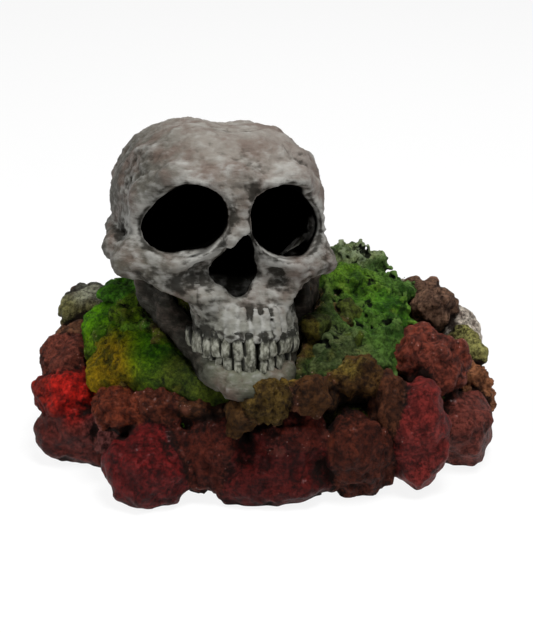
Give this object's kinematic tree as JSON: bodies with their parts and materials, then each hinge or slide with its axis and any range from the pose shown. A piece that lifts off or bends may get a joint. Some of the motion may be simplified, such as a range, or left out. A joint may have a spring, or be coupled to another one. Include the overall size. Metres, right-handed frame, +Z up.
{
  "type": "bubbling ornament",
  "caption": "Hollow cast skull resting on a hollow pile of boulders; air let in at the back rises through the skull and leaves as bubbles at the eye sockets and nose.",
  "frame": {"origin": "middle of the flat underside, on the surface that the ornament stands on", "axes": "+X to the right when facing the skull, -Y to the front, where the skull looks, +Z up"},
  "size_m": [0.1816, 0.1284, 0.1343],
  "materials": {
    "bone_resin": "dry-brushed grey cast resin",
    "jaw_resin": "dry-brushed grey cast resin",
    "rock_resin": "painted cast resin with a thin gloss",
    "moss_resin": "sponge-painted cast resin, matt",
    "plate_resin": "unpainted cast resin, matt",
    "screw_steel": "stainless",
    "fitting_plastic": "moulded",
    "stem_plastic": "moulded",
    "silicone": "translucent silicone",
    "air_stone": "sintered grit"
  },
  "bodies": {
    "root": {"skull_casting": "bone_resin", "lower_jaw": "jaw_resin", "rock_base": "rock_resin", "moss_clump": "moss_resin", "base_plate": "plate_resin", "plate_screws": "screw_steel", "cradle_screws": "screw_steel", "inlet_connector": "fitting_plastic", "inlet_nut": "fitting_plastic", "inlet_washer": "silicone", "air_tube": "silicone", "stone_stem": "stem_plastic", "air_stone": "air_stone", "stone_cradle": "fitting_plastic"}
  },
  "joints": []
}
